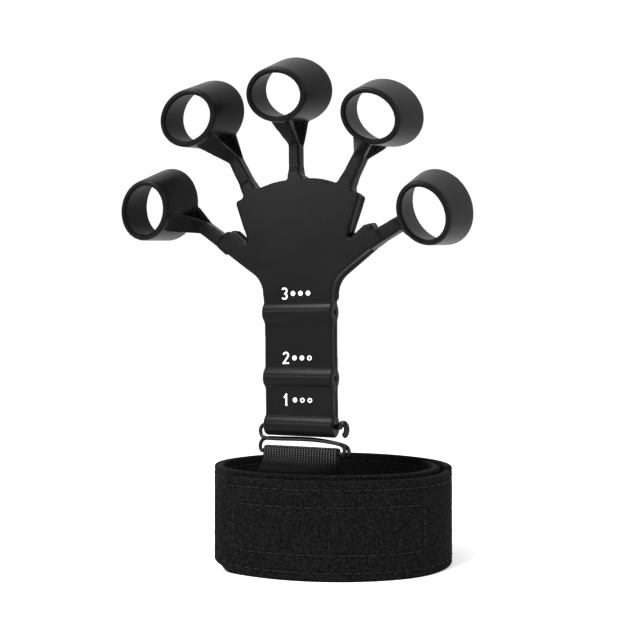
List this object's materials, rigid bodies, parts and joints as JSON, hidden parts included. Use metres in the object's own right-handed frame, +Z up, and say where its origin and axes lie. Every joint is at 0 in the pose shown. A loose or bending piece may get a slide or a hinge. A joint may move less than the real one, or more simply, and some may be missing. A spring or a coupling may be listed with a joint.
{
  "type": "finger exerciser",
  "caption": "Elastic silicone hand web with conical finger loops on soft arms, hung by a wire buckle from a hook-and-loop wrist strap that stands as an oval ring.",
  "frame": {"origin": "middle of the outer box, on the surface that the strap's lower edge stands on", "axes": "+Z up along the web, -Y the side of the hand web that the finger loops lean to, +X to the right seen from the front"},
  "size_m": [0.1466, 0.0985, 0.2055],
  "materials": {
    "silicone": "satin moulded silicone",
    "pile_cloth": "brushed loop pile",
    "foam": "matt foam edge",
    "lining": "matt knit",
    "hook_tape": "moulded hooks",
    "thread": "polyester thread",
    "webbing": "ribbed webbing",
    "wire": "gloss black",
    "ink": "white print"
  },
  "bodies": {
    "strap": {"strap_pile_cloth": "pile_cloth", "strap_foam_core": "foam", "strap_lining": "lining", "strap_edge_stitching": "thread", "webbing_tab": "webbing", "webbing_stitching": "thread"},
    "flap": {"flap_pile_cloth": "pile_cloth", "flap_foam_core": "foam", "flap_lining": "lining", "flap_hook_tape": "hook_tape", "flap_edge_stitching": "thread", "hook_tape_stitching": "thread"},
    "buckle": {"buckle_wire": "wire"},
    "web": {"palm_web": "silicone", "neck_web": "silicone", "level_mark_1": "ink", "level_mark_2": "ink", "level_mark_3": "ink"},
    "thumb_arm": {"thumb_arm": "silicone"},
    "thumb_loop": {"thumb_loop": "silicone"},
    "index_arm": {"index_arm": "silicone"},
    "index_loop": {"index_loop": "silicone"},
    "middle_arm": {"middle_arm": "silicone"},
    "middle_loop": {"middle_loop": "silicone"},
    "ring_arm": {"ring_arm": "silicone"},
    "ring_loop": {"ring_loop": "silicone"},
    "little_arm": {"little_arm": "silicone"},
    "little_loop": {"little_loop": "silicone"}
  },
  "joints": [
    {"name": "flap_peel", "type": "hinge", "parent": "strap", "child": "flap", "pos_m": [0.05162, 0.02191, 0.0195], "axis": [0, 0, 1], "range_deg": [0, 110]},
    {"name": "buckle_swing", "type": "hinge", "parent": "strap", "child": "buckle", "pos_m": [0.00168, -0.02166, 0.0487], "axis": [-1, 0, 0], "range_deg": [-35, 30]},
    {"name": "web_fold", "type": "hinge", "parent": "buckle", "child": "web", "pos_m": [0.00168, -0.02166, 0.0592], "axis": [-1, 0, 0], "range_deg": [-80, 60]},
    {"name": "thumb_flex", "type": "hinge", "parent": "web", "child": "thumb_arm", "pos_m": [-0.03252, -0.02363, 0.13427], "axis": [0.5736, -0.0214, 0.8189], "range_deg": [-25, 45], "stiffness_Nm_per_rad": 0.12},
    {"name": "thumb_stretch", "type": "slide", "parent": "thumb_arm", "child": "thumb_loop", "axis": [-0.8199, -0.3426, 0.4588], "range_m": [0, 0.015], "stiffness_N_per_m": 400},
    {"name": "index_flex", "type": "hinge", "parent": "web", "child": "index_arm", "pos_m": [-0.02092, -0.02422, 0.15687], "axis": [0.8829, -0.0123, 0.4693], "range_deg": [-25, 45], "stiffness_Nm_per_rad": 0.12},
    {"name": "index_stretch", "type": "slide", "parent": "index_arm", "child": "index_loop", "axis": [-0.4901, -0.3229, 0.8096], "range_m": [0, 0.015], "stiffness_N_per_m": 400},
    {"name": "middle_flex", "type": "hinge", "parent": "web", "child": "middle_arm", "pos_m": [0.00078, -0.02432, 0.16076], "axis": [1, 0, 0], "range_deg": [-25, 45], "stiffness_Nm_per_rad": 0.12},
    {"name": "middle_stretch", "type": "slide", "parent": "middle_arm", "child": "middle_loop", "axis": [0.0317, -0.3605, 0.9322], "range_m": [0, 0.015], "stiffness_N_per_m": 400},
    {"name": "ring_flex", "type": "hinge", "parent": "web", "child": "ring_arm", "pos_m": [0.02388, -0.02421, 0.15667], "axis": [0.8746, 0.0127, -0.4846], "range_deg": [-25, 45], "stiffness_Nm_per_rad": 0.12},
    {"name": "ring_stretch", "type": "slide", "parent": "ring_arm", "child": "ring_loop", "axis": [0.5554, -0.3314, 0.7627], "range_m": [0, 0.015], "stiffness_N_per_m": 400},
    {"name": "little_flex", "type": "hinge", "parent": "web", "child": "little_arm", "pos_m": [0.03588, -0.02361, 0.13367], "axis": [0.454, 0.0233, -0.8907], "range_deg": [-25, 45], "stiffness_Nm_per_rad": 0.12},
    {"name": "little_stretch", "type": "slide", "parent": "little_arm", "child": "little_loop", "axis": [0.8906, -0.3649, 0.2716], "range_m": [0, 0.015], "stiffness_N_per_m": 400}
  ]
}
